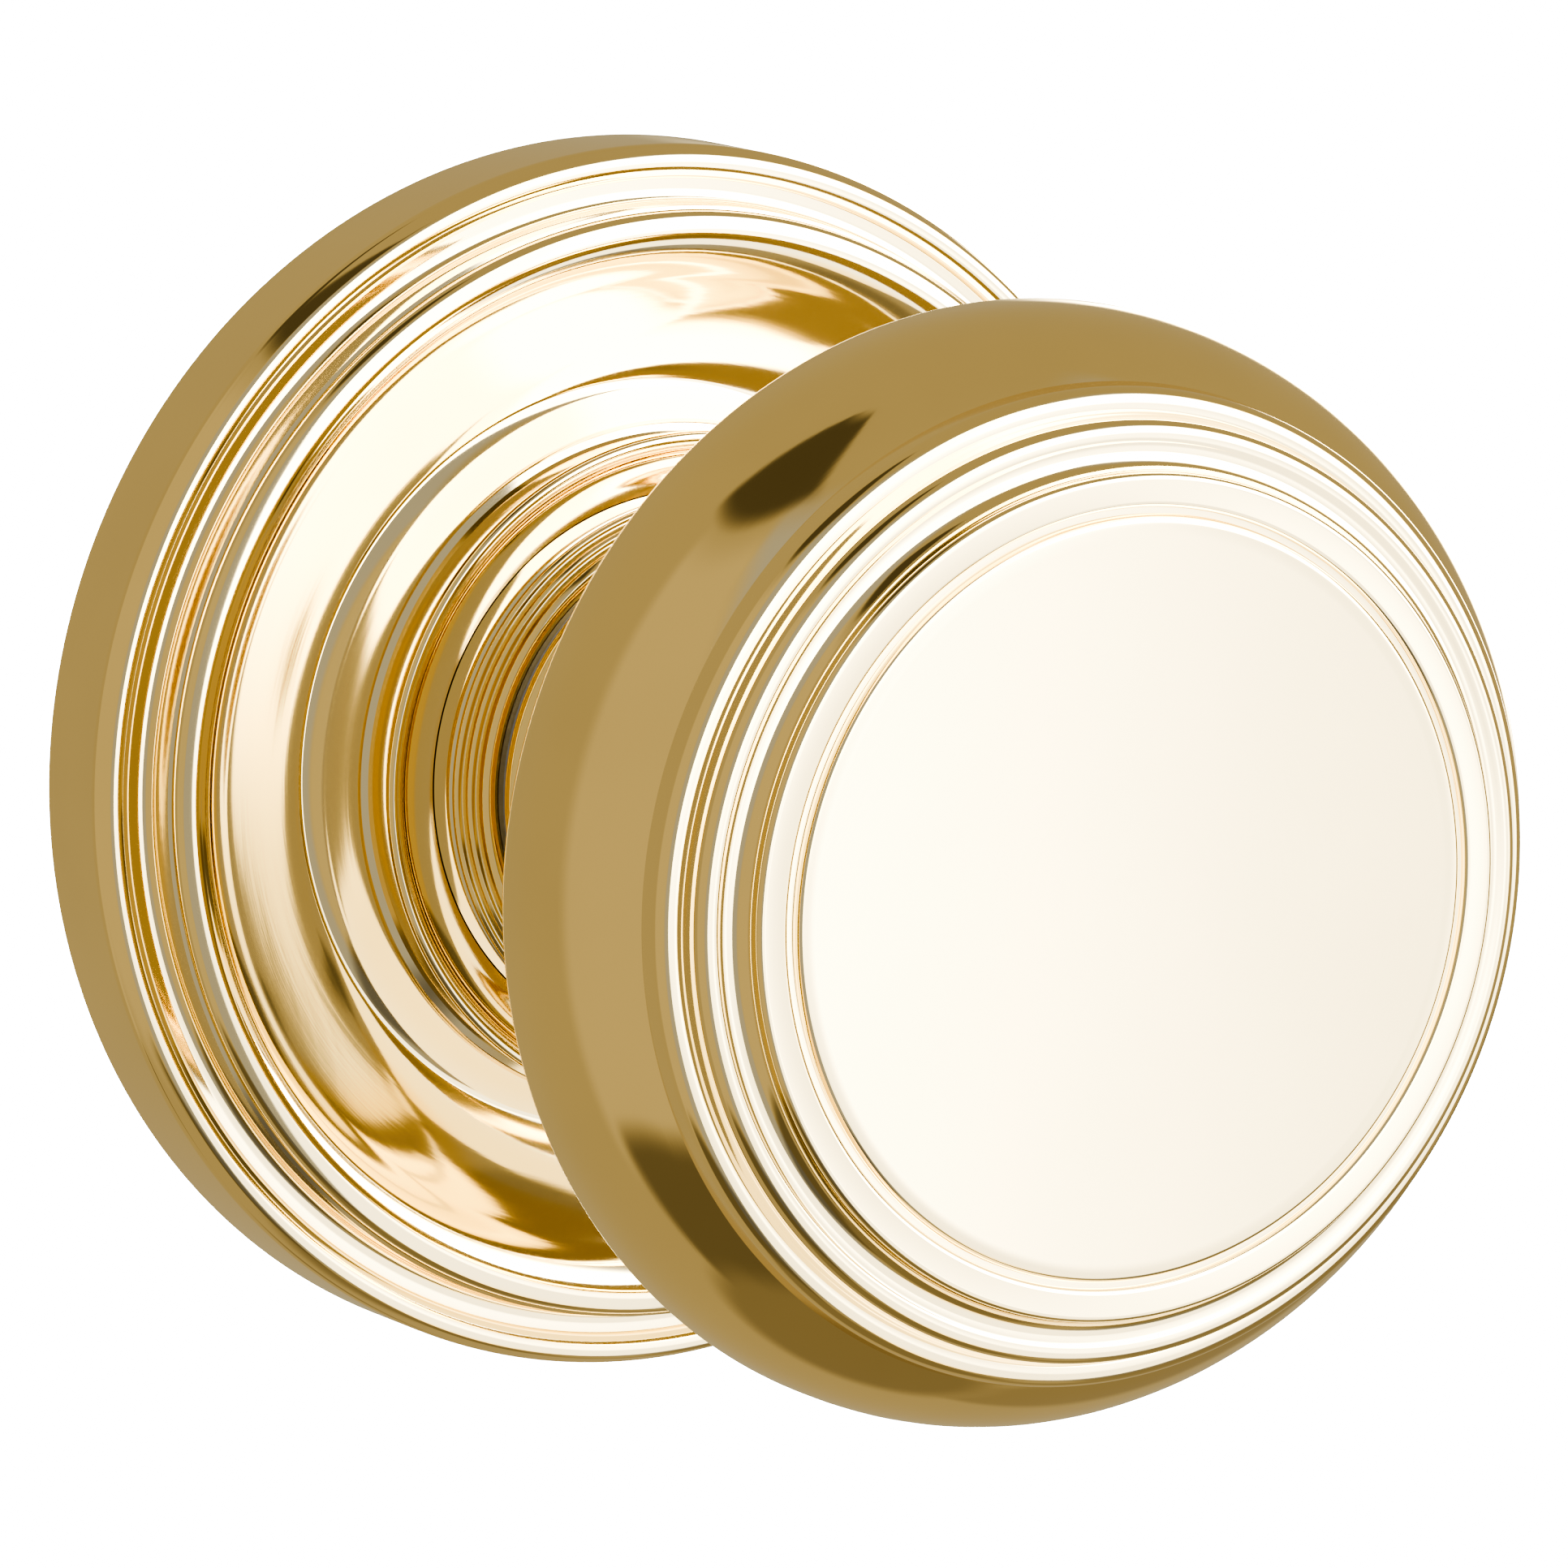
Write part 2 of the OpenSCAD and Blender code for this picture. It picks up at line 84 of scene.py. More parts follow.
def back_of(node):
    """How far the back of a node is from the door, in mm. It is below zero inside the door."""
    return -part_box(node)[1].y / MM


def radius_of(node):
    """Half of a node's width, in mm."""
    low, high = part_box(node)
    return (high.x - low.x) / 2 / MM


class KnobSizes(bpy.types.PropertyGroup):
    """Sizes of the pieces that the frame's boxes don't give."""

    rim: FloatProperty(
        name="Rim", description="Width of the moulded rim around the flat face",
        default=9.7 * MM, min=9.5 * MM, max=12 * MM, unit="LENGTH", subtype="DISTANCE")
    shoulder: FloatProperty(
        name="Shoulder", description="Radius of the knob's round shoulder",
        default=9.1 * MM, min=8.6 * MM, max=9.6 * MM, unit="LENGTH", subtype="DISTANCE")
    crown: FloatProperty(
        name="Crown", description="Rise of the face above its rim",
        default=0.5 * MM, min=0.2 * MM, max=1.5 * MM, unit="LENGTH", subtype="DISTANCE")
    shell: FloatProperty(
        name="Shell", description="Wall of the pressed shells of the knob",
        default=1.6 * MM, min=1.2 * MM, max=2 * MM, unit="LENGTH", subtype="DISTANCE")
    rose_wall: FloatProperty(
        name="Rose wall", description="Height of the rose's plain outer wall",
        default=5 * MM, min=4.6 * MM, max=8 * MM, unit="LENGTH", subtype="DISTANCE")
    rose_metal: FloatProperty(
        name="Rose metal", description="Thickness of the rose's metal",
        default=1.3 * MM, min=1 * MM, max=1.6 * MM, unit="LENGTH", subtype="DISTANCE")
    hub: FloatProperty(
        name="Hub", description="Diameter over the rim of the rose's raised hub",
        default=35.8 * MM, min=34 * MM, max=42 * MM, unit="LENGTH", subtype="DISTANCE")
    waist: FloatProperty(
        name="Waist", description="Diameter of the narrowest part of the neck",
        default=23.6 * MM, min=22 * MM, max=26 * MM, unit="LENGTH", subtype="DISTANCE")
    wire: FloatProperty(
        name="Spring wire", description="Diameter of the return spring's wire",
        default=1.6 * MM, min=1 * MM, max=1.7 * MM, unit="LENGTH", subtype="DISTANCE")


class KnobColours(bpy.types.PropertyGroup):
    """Colours of the metals, the nylon and the floor."""

    brass: FloatVectorProperty(
        name="Brass", description="Polished brass under its lacquer",
        default=(0.93, 0.76, 0.42), size=3, min=0, max=1, subtype="COLOR")
    steel: FloatVectorProperty(
        name="Plated steel", description="Zinc plating on the hidden steel",
        default=(0.62, 0.62, 0.60), size=3, min=0, max=1, subtype="COLOR")
    oxide: FloatVectorProperty(
        name="Black oxide", description="Blackened spring steel and screws",
        default=(0.16, 0.16, 0.17), size=3, min=0, max=1, subtype="COLOR")
    zinc: FloatVectorProperty(
        name="Cast zinc", description="Die-cast spring case",
        default=(0.58, 0.59, 0.60), size=3, min=0, max=1, subtype="COLOR")
    nylon: FloatVectorProperty(
        name="Nylon", description="Bush and thrust washer",
        default=(0.03, 0.03, 0.03), size=3, min=0, max=1, subtype="COLOR")
    floor: FloatVectorProperty(
        name="Floor", description="Studio floor",
        default=(0.86, 0.86, 0.85), size=3, min=0, max=1, subtype="COLOR")


# ---- Shader nodes ----

class Value:
    """A number, vector or colour that varies in a shader. Arithmetic on a number adds Math nodes."""

    def __init__(self, graph, socket):
        self.graph = graph
        self.socket = socket

    def __add__(self, other):
        return self.graph.maths("ADD", self, other)

    def __sub__(self, other):
        return self.graph.maths("SUBTRACT", self, other)

    def __rsub__(self, other):
        return self.graph.maths("SUBTRACT", other, self)

    def __mul__(self, other):
        return self.graph.maths("MULTIPLY", self, other)

    def __truediv__(self, other):
        return self.graph.maths("DIVIDE", self, other)

    def __neg__(self):
        return self.graph.maths("MULTIPLY", self, -1.0)

    def __rpow__(self, other):
        return self.graph.maths("POWER", other, self)

    __radd__ = __add__
    __rmul__ = __mul__


class Graph:
    """The node tree of one material or world."""

    def __init__(self, tree):
        tree.nodes.clear()
        self.tree = tree

    def node(self, kind, settings=None, inputs=None, output=0):
        """Adds a node, its settings first and then its sockets, and gives back the outputs asked for."""
        made = self.tree.nodes.new(kind)
        for name, setting in (settings or {}).items():
            setattr(made, name, setting)
        for name, given in (inputs or {}).items():
            if isinstance(given, Value):
                self.tree.links.new(given.socket, made.inputs[name])
            else:
                made.inputs[name].default_value = given
        if isinstance(output, tuple):
            return tuple(Value(self, made.outputs[name]) for name in output)
        return Value(self, made.outputs[output])

    def maths(self, operation, *values):
        return self.node("ShaderNodeMath", {"operation": operation}, dict(enumerate(values)))

    def smooth(self, value, low, high, start=0.0, end=1.0):
        """Goes smoothly from start to end as the value goes from low to high."""
        return self.node(
            "ShaderNodeMapRange", {"interpolation_type": "SMOOTHSTEP"},
            {"Value": value, "From Min": low, "From Max": high, "To Min": start, "To Max": end})

    def noise(self, where, scale, detail=2.0, roughness=0.5):
        return self.node(
            "ShaderNodeTexNoise", None,
            {"Vector": where, "Scale": scale, "Detail": detail, "Roughness": roughness})

    def vector(self, x, y, z):
        return self.node("ShaderNodeCombineXYZ", None, {"X": x, "Y": y, "Z": z})

    def parts(self, vector):
        return self.node("ShaderNodeSeparateXYZ", None, {"Vector": vector}, ("X", "Y", "Z"))

    def blend(self, amount, first, second):
        """A colour between two others."""
        pair = [c if isinstance(c, Value) else (*c, 1) for c in (first, second)]
        return self.node("ShaderNodeMix", {"data_type": "RGBA"}, {0: amount, 6: pair[0], 7: pair[1]}, 2)

    def bump(self, height, distance, strength=1.0):
        return self.node(
            "ShaderNodeBump", None, {"Height": height, "Distance": distance, "Strength": strength})

    def surface(self, **sockets):
        """Ends the tree in one Principled shader."""
        shader = self.node(
            "ShaderNodeBsdfPrincipled", None,
            {name.replace("_", " "): given for name, given in sockets.items()})
        self.node("ShaderNodeOutputMaterial", None, {"Surface": shader}, ())


def shade(colour, factor):
    """A colour made lighter or darker."""
    return tuple(min(1.0, c * factor) for c in colour)


def material():
    """A new material, with its empty graph and the place on the piece."""
    made = bpy.data.materials.new("finish")
    made.use_nodes = True
    graph = Graph(made.node_tree)
    place = graph.node("ShaderNodeTexCoord", None, None, "Object")
    return made, graph, place


def turning(graph, place):
    """Radius, depth and a thin slice of the angle of a point, for marks that run round the axis."""
    x, y, z = graph.parts(place)
    radius = graph.maths("SQRT", x * x + z * z)
    angle = graph.maths("ARCTAN2", x, z)
    return radius, y, angle


def polished_brass(colour):
    """Buffed brass under clear lacquer: faint rings left by the buffing, and a hair of clouding."""
    made, graph, place = material()
    radius, depth, angle = turning(graph, place)
    rings = graph.noise(graph.vector(radius * 2600.0, depth * 2600.0, angle * 1.3), 1.0, 3.0, 0.6)
    clouds = graph.noise(place, 70.0, 3.0, 0.55)
    colour_mix = graph.smooth(clouds, 0.35, 0.7)
    graph.surface(
        Base_Color=graph.blend(colour_mix, colour, shade(colour, 0.965)),
        Metallic=1.0,
        Roughness=0.036 + rings * 0.03 + clouds * 0.02,
        Coat_Weight=0.2 + clouds * 0.15,
        Coat_Roughness=0.03,
        Normal=graph.bump(rings, 0.00001, 0.12))
    return made


def plated_steel(colour):
    """Zinc plating over rolled steel: a satin grain along the sheet, with clouded spangle."""
    made, graph, place = material()
    x, y, z = graph.parts(place)
    grain = graph.noise(graph.vector(x * 180.0, y * 900.0, z * 2400.0), 1.0, 4.0, 0.65)
    spangle = graph.noise(place, 260.0, 4.0, 0.6)
    clouds = graph.noise(place, 48.0, 3.0, 0.5)
    worn = graph.smooth(spangle, 0.42, 0.68)
    cool = graph.blend(worn, colour, (colour[0] * 0.84, colour[1] * 0.87, colour[2] * 0.93))
    graph.surface(
        Base_Color=graph.blend(graph.smooth(clouds, 0.5, 0.8), cool, shade(colour, 0.78)),
        Metallic=1.0,
        Roughness=0.2 + grain * 0.14 + spangle * 0.12,
        Normal=graph.bump(grain + spangle, 0.00003, 0.35))
    return made


def black_oxide(colour):
    """Blackened steel: dark and oily, with brighter rubbed specks."""
    made, graph, place = material()
    specks = graph.noise(place, 900.0, 4.0, 0.7)
    film = graph.noise(place, 150.0, 2.0, 0.5)
    rubbed = graph.smooth(specks, 0.6, 0.78)
    graph.surface(
        Base_Color=graph.blend(rubbed, colour, shade(colour, 2.2)),
        Metallic=1.0,
        Roughness=0.3 + film * 0.2 - rubbed * 0.08,
        Normal=graph.bump(specks, 0.00002, 0.4))
    return made


def cast_zinc(colour):
    """Die-cast zinc: a fine pebbled skin with duller flow marks."""
    made, graph, place = material()
    skin = graph.noise(place, 1500.0, 3.0, 0.6)
    stretched = graph.node("ShaderNodeMapping", None, {"Vector": place, "Scale": (40, 160, 55)})
    flow = graph.noise(stretched, 1.0, 3.0)
    graph.surface(
        Base_Color=graph.blend(graph.smooth(flow, 0.35, 0.7), shade(colour, 1.05), shade(colour, 0.8)),
        Metallic=0.95,
        Roughness=0.42 + skin * 0.12 + flow * 0.1,
        Normal=graph.bump(skin, 0.00005, 0.5))
    return made


def turned_nylon(colour):
    """Black nylon off the lathe: close tool rings over a soft sheen."""
    made, graph, place = material()
    radius, depth, angle = turning(graph, place)
    rings = graph.noise(graph.vector(radius * 1600.0, depth * 1600.0, angle * 0.4), 1.0, 2.0, 0.5)
    graph.surface(
        Base_Color=graph.blend(rings, colour, shade(colour, 1.9)),
        Roughness=0.38 + rings * 0.14,
        Normal=graph.bump(rings, 0.00003, 0.5))
    return made


FINISHES = {
    "polished_brass": (polished_brass, "brass"),
    "plated_steel": (plated_steel, "steel"),
    "dark_steel": (black_oxide, "oxide"),
    "cast_zinc": (cast_zinc, "zinc"),
    "black_nylon": (turned_nylon, "nylon"),
}


def finish_for(slot):
    """The material of one of the record's slots, made the first time it is asked for."""
    name = slot + "_finish"
    if name not in bpy.data.materials:
        make, colour = FINISHES[slot]
        make(tuple(getattr(bpy.context.scene.knob_colours, colour))).name = name
    return bpy.data.materials[name]


# ---- Outlines: points (radius, distance in front of the door), in mm ----

def arc(x, y, radius, first, last):
    """Points along an arc about (x, y), between two angles in degrees."""
    count = max(2, math.ceil(abs(last - first) / ARC_STEP))
    angles = [math.radians(first + (last - first) * i / count) for i in range(count + 1)]
    return [(x + radius * math.cos(a), y + radius * math.sin(a)) for a in angles]


def curve(start, pull_start, pull_end, end, count=24):
    """Points along a cubic curve from start to end."""
    points = []
    for i in range(count + 1):
        t = i / count
        s = 1 - t
        weights = (s * s * s, 3 * s * s * t, 3 * s * t * t, t * t * t)
        places = (start, pull_start, pull_end, end)
        points.append(tuple(sum(w * p[k] for w, p in zip(weights, places)) for k in (0, 1)))
    return points


def softened(points, radius, sharpest=40):
    """Rounds every corner of a closed outline that turns by more than the given angle."""
    rounded = []
    count = len(points)
    for i, point in enumerate(points):
        before, here, after = (Vector(p) for p in (points[i - 1], point, points[(i + 1) % count]))
        to_before, to_after = before - here, after - here
        if here.x < 1e-6 or min(to_before.length, to_after.length) < 1e-6:
            rounded.append(point)
            continue
        bend = math.pi - to_before.angle(to_after)
        if math.degrees(bend) < sharpest:
            rounded.append(point)
            continue
        reach = min(radius * math.tan(bend / 2), to_before.length * 0.45, to_after.length * 0.45)
        start, end = here + to_before.normalized() * reach, here + to_after.normalized() * reach
        for k in range(5):
            t = k / 4
            rounded.append(tuple(start * (1 - t) ** 2 + here * 2 * t * (1 - t) + end * t * t))
    return rounded


def front_shell_outline(sizes):
    """The knob's front shell: crowned face, two beads, cove and round shoulder, then its inside."""
    shoulder_r, shell_t, crown = sizes.shoulder / MM, sizes.shell / MM, sizes.crown / MM
    knob_r = radius_of("knob_front_shell")
    top = front_of("knob_front_shell") - crown
    back = back_of("knob_front_shell")
    face_r = knob_r - sizes.rim / MM
    crown_r = (face_r * face_r + crown * crown) / (2 * crown)
    shoulder_z, shoulder_c = top - 11.7, knob_r - shoulder_r
    shoulder_a = math.degrees(math.asin(7 / shoulder_r))
    roll_r, lip_t, lip_w, ledge_w = 1.2, 0.8, 3.4, 1.4
    ledge_z = front_of("stiffening_disc")
    inner_r = shoulder_r - shell_t - ledge_w
    inner_a = math.degrees(math.asin((ledge_z - shoulder_z) / inner_r))
    face = [
        (face_r * i / 24, top + crown - crown_r + math.sqrt(crown_r ** 2 - (face_r * i / 24) ** 2))
        for i in range(24)
    ]
    outside = (
        face
        + [(face_r - 0.12, top + 0.006), (face_r, top - 0.03), (face_r + 0.12, top - 0.12),
           (face_r + 0.18, top - 0.4), (face_r + 0.3, top - 0.52), (face_r + 0.48, top - 0.52)]
        + arc(face_r + 1, top - 0.6, 0.4, 170, 100)
        + arc(face_r + 1.97, top - 0.57, 0.37, 95, 0)
        + arc(face_r + 3.5, top - 0.65, 1.15, 180, 260)
        + arc(face_r + 4.05, top - 2.4, 0.75, 120, -10)
        + [(face_r + 4.82, top - 2.95)]
        + arc(face_r + 5.35, top - 4.05, 0.95, 115, 5)
        + arc(shoulder_c, shoulder_z, shoulder_r, shoulder_a, 0)
        + arc(knob_r - roll_r, back + roll_r, roll_r, 0, -90))
    inside = (
        [(knob_r - lip_w, back), (knob_r - lip_w, back + lip_t), (knob_r - shell_t, back + lip_t),
         (knob_r - shell_t, ledge_z)]
        + arc(shoulder_c, shoulder_z, inner_r, inner_a, 65)
        + [(face_r + 1.6, top - 4.6), (face_r - 0.8, top - 2.3), (0, top - 1.8)])
    return outside + softened(inside, 0.2)


def rear_shell_outline(sizes):
    """The rear shell: a flare from the neck to a flange that the front shell is rolled over."""
    lip_r = radius_of("knob_front_shell") - 3.6
    flange_r, disc_z = radius_of("knob_rear_shell"), front_of("knob_rear_shell")
    flange_z = disc_z - 1.2
    back = flange_z - 0.8
    seat_z = back_of("knob_rear_shell")
    neck_r, spigot_r = sizes.waist / MM / 2 + 0.6, radius_of("neck_bush") - 1.3
    outside = curve(
        (neck_r, seat_z), (neck_r - 0.2, seat_z + 9), (lip_r - 8, back - 0.6), (lip_r, back + 0.2), 40)
    inside = curve(
        (lip_r - 1.2, disc_z), (lip_r - 9, back + 0.6), (spigot_r + 0.9, seat_z + 13),
        (spigot_r + 0.05, seat_z + 7), 24)
    return (
        [(spigot_r + 0.05, seat_z), (neck_r - 0.12, seat_z), (neck_r - 0.03, seat_z + 0.04)]
        + outside[1:]
        + [(lip_r, flange_z), (flange_r, flange_z), (flange_r, disc_z)]
        + inside)


def rose_outline(sizes):
    """The rose: plain wall, bead, steps, broad dish with a crest, hub and funnel, then its inside."""
    r, w, t = radius_of("rose"), sizes.rose_wall / MM, sizes.rose_metal / MM
    hub_r, hub_h = sizes.hub / MM / 2, front_of("rose")
    collar_r = radius_of("neck_collar") - 1.6
    foot, dish_z, funnel_z = hub_r + 2.3, hub_h - 6.4, hub_h - 1.4
    ogee_r, ogee_z = r - 7, w + 2
    outside = (
        [(r, 0)]
        + arc(r - 0.65, w, 0.65, 0, 40)
        + arc(r - 1, w + 0.55, 0.85, 45, 155)
        + [(r - 1.8, w + 0.72)]
        + arc(r - 2.2, w + 1.65, 0.9, 270, 200)
        + [(r - 3.05, w + 2.82), (r - 3.22, w + 2.93)]
        + arc(r - 3.95, w + 3.1, 0.7, 10, 60)
        + curve(
            (r - 3.88, w + 3.82), (r - 4.8, w + 4.4), (ogee_r + 0.9, ogee_z + 0.75), (ogee_r, ogee_z))
        + curve(
            (ogee_r, ogee_z), (ogee_r - 0.9, ogee_z - 0.75), (foot + 2.4, dish_z), (foot, dish_z), 40)[1:]
        + curve(
            (foot, dish_z), (foot - 1, dish_z + 0.5), (hub_r + 0.3, dish_z + 1.8),
            (hub_r + 0.38, dish_z + 3.2))[1:]
        + [(hub_r + 0.05, dish_z + 3.4), (hub_r + 0.3, hub_h - 0.5)]
        + arc(hub_r - 0.1, hub_h - 0.4, 0.4, 0, 120)
        + curve(
            (hub_r - 0.5, hub_h - 0.2), (hub_r - 0.9, hub_h - 1.2), (collar_r + 1.4, funnel_z),
            (collar_r + 0.05, funnel_z)))
    inside = (
        [(collar_r + 0.05, funnel_z - t), (hub_r - 1, funnel_z - t), (hub_r - 1, dish_z + 1),
         (foot - 0.6, dish_z - t)]
        + curve(
            (foot + 0.4, dish_z - t), (foot + 3, dish_z - t), (ogee_r, ogee_z - t * 1.4),
            (ogee_r + 0.8, ogee_z - t * 0.8), 16)
        + [(r - 5.2, w + 4.1 - t), (r - 4.5, w + 3.4 - t), (r - 4.4, w + 0.2), (r - 3.6, w - 0.7),
           (r - t, w - 0.7), (r - t, 0)])
    return outside + inside


def collar_outline():
    """The neck collar: a tube with a flange behind the rose, stepped down towards its top."""
    hole_r = radius_of("neck_bush") + 0.02
    foot_z, h = back_of("neck_collar"), front_of("neck_collar")
    flange_r = radius_of("neck_collar")
    r, flange_z = flange_r - 1.6, front_of("rose") - 2.7
    steps = [  # how far in from the wall, and how far down from the top
        (0, 2.5), (0.2, 2.4), (0.2, 2.25), (0, 2.15), (0, 1.9), (0.15, 1.75), (0.4, 1.7), (0.4, 1.15),
        (0.55, 1), (0.8, 0.95), (0.8, 0.25), (1.05, 0)]
    outline = [
        (hole_r, foot_z), (r, foot_z), (r, flange_z - 1.2), (flange_r, flange_z - 1.2),
        (flange_r, flange_z), (r, flange_z)]
    outline += [(r - inset, h - drop) for inset, drop in steps] + [(hole_r, h)]
    return softened(outline, 0.12, 25)


def shank_outline(sizes):
    """The shank: tail with its ring groove, journal, beaded neck with a waist, and spigot."""
    journal_r = radius_of("neck_bush") - 1.55
    collar_top = front_of("neck_collar")
    neck_z = front_of("thrust_washer") + 0.05
    neck_r, waist_r = radius_of("knob_shank"), sizes.waist / MM / 2
    spigot_r, seat_z = journal_r + 0.2, back_of("knob_rear_shell")
    tail_end, rivet_top = back_of("knob_shank"), front_of("knob_shank")
    tail_r, ring_back, ring_front = journal_r - 2.5, back_of("retaining_ring"), front_of("retaining_ring")
    groove_r, disc_z, ledge_z = tail_r - 0.6, back_of("stiffening_disc"), front_of("stiffening_disc")
    step_z = 2.0
    rod = [(tail_r - 0.5, tail_end), (tail_r, tail_end + 0.5), (tail_r, ring_back), (groove_r, ring_back),
           (groove_r, ring_front), (tail_r, ring_front), (tail_r, step_z), (journal_r, step_z),
           (journal_r, collar_top), (journal_r, neck_z), (neck_r - 0.4, neck_z)]
    neck = (
        arc(neck_r - 0.8, neck_z + 0.8, 0.8, -60, 90)
        + curve(
            (neck_r - 1.4, neck_z + 1.6), (waist_r, neck_z + 2), (waist_r, neck_z + 5),
            (waist_r + 0.6, seat_z)))
    head = [(spigot_r, seat_z), (spigot_r, disc_z), (spigot_r - 2.05, disc_z), (spigot_r - 2.05, ledge_z),
            (spigot_r - 0.6, ledge_z), (spigot_r - 0.8, rivet_top - 0.4), (spigot_r - 1.2, rivet_top)]
    return [(0, tail_end)] + rod + neck + head + [(0, rivet_top)]


# ---- Meshes ----

def at(x, up, out):
    """A point in the frame, in metres, from millimetres across, up and in front of the door."""
    return Vector((x, -out, up)) * MM


def new_piece(name, points, faces, slot, smooth=True):
    """An object from points in metres, with its finish."""
    mesh = bpy.data.meshes.new(name)
    mesh.from_pydata([tuple(p) for p in points], [], faces)
    mesh.validate()
    piece = bpy.data.objects.new(name, mesh)
    bpy.context.scene.collection.objects.link(piece)
    if smooth:
        mesh.shade_smooth()
        mesh.set_sharp_from_angle(angle=SHARP)
    if slot:
        mesh.materials.append(finish_for(slot))
    return piece


def turned(name, outline, slot, around=AROUND):
    """A solid turned about the axis from a closed outline. The outline may touch the axis."""
    points, rows, faces = [], [], []
    for radius, out in outline:
        if radius < 1e-6:
            rows.append([len(points)])
            points.append(at(0, 0, out))
            continue
        rows.append(range(len(points), len(points) + around))
        for k in range(around):
            a = 2 * math.pi * k / around
            points.append(at(radius * math.cos(a), radius * math.sin(a), out))
    for i, row in enumerate(rows):
        after = rows[(i + 1) % len(rows)]
        if len(row) == 1 and len(after) == 1:
            continue
        for k in range(around):
            n = (k + 1) % around
            if len(row) == 1:
                faces.append((row[0], after[k], after[n]))
            elif len(after) == 1:
                faces.append((row[k], after[0], row[n]))
            else:
                faces.append((row[k], after[k], after[n], row[n]))
    piece = new_piece(name, points, faces, slot)
    face_outwards(piece)
    return piece


def face_outwards(piece):
    """Turns the faces of a closed mesh over where its volume comes out below zero."""
    work = bmesh.new()
    work.from_mesh(piece.data)
    if work.calc_volume(signed=True) < 0:
        bmesh.ops.reverse_faces(work, faces=work.faces)
    work.to_mesh(piece.data)
    work.free()


def block(name, low, high):
    """A plain box used as a cutter, from corners (x, up, out) in mm."""
    corners = [at(x, u, o) for x in (low[0], high[0]) for u in (low[1], high[1]) for o in (low[2], high[2])]
    faces = [(0, 1, 3, 2), (4, 6, 7, 5), (0, 4, 5, 1), (2, 3, 7, 6), (0, 2, 6, 4), (1, 5, 7, 3)]
    piece = new_piece(name, corners, faces, None, smooth=False)
    face_outwards(piece)
    return piece


def drill(name, radius, low, high, out, around=64):
    """A round cutter that stands upright, between two heights, at a distance in front of the door."""
    points, faces = [], []
    for up in (low, high):
        for k in range(around):
            a = 2 * math.pi * k / around
            points.append(at(radius * math.cos(a), up, out + radius * math.sin(a)))
    for k in range(around):
        n = (k + 1) % around
        faces.append((k, n, around + n, around + k))
    faces += [tuple(range(around)), tuple(range(2 * around - 1, around - 1, -1))]
    piece = new_piece(name, points, faces, None, smooth=False)
    face_outwards(piece)
    return piece


def cut(piece, *cutters):
    """Takes the cutters out of a piece, and removes them."""
    for cutter in cutters:
        modifier = piece.modifiers.new("cut", "BOOLEAN")
        modifier.operation = "DIFFERENCE"
        modifier.solver = "EXACT"
        modifier.object = cutter
    apply_modifiers(piece)
    for cutter in cutters:
        bpy.data.objects.remove(cutter)
    piece.data.shade_smooth()
    piece.data.set_sharp_from_angle(angle=SHARP)


def apply_modifiers(piece):
    """Keeps what the modifiers make as the piece's own mesh."""
    bpy.context.view_layer.update()
    evaluated = piece.evaluated_get(bpy.context.evaluated_depsgraph_get())
    mesh = bpy.data.meshes.new_from_object(evaluated)
    piece.modifiers.clear()
    piece.data = mesh


def put(piece, body, *nodes):
    """Fastens a finished piece to its body, in place of its CAD nodes."""
    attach(piece, body)
    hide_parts(*nodes)


# ---- Operators: one for each piece or group of like pieces ----

class KNOB_OT_rose(bpy.types.Operator):
    """Spin the rose, with the hole for its grub screw"""

    bl_idname = "knob.rose"
    bl_label = "Rose"

    def execute(self, context):
        piece = turned("rose_plate", rose_outline(context.scene.knob_sizes), "polished_brass")
        low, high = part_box("rose_grub_screw")
        screw_r, screw_z = (high.x - low.x) / 2 / MM, -(high.y + low.y) / 2 / MM
        cut(piece, drill("rose_hole", screw_r + 0.02, -radius_of("rose") - 1, -20, screw_z))
        put(piece, "door_side", "rose")
        return {"FINISHED"}


class KNOB_OT_collar(bpy.types.Operator):
    """Turn the stepped neck collar"""

    bl_idname = "knob.collar"
    bl_label = "Neck collar"

    def execute(self, context):
        put(turned("stepped_collar", collar_outline(), "polished_brass"), "door_side", "neck_collar")
        return {"FINISHED"}


class KNOB_OT_shells(bpy.types.Operator):
    """Press the knob's front and rear shells"""

    bl_idname = "knob.shells"
    bl_label = "Knob shells"

    def execute(self, context):
        sizes = context.scene.knob_sizes
        put(turned("front_shell", front_shell_outline(sizes), "polished_brass"), "knob", "knob_front_shell")
        put(turned("rear_shell", rear_shell_outline(sizes), "polished_brass"), "knob", "knob_rear_shell")
        return {"FINISHED"}


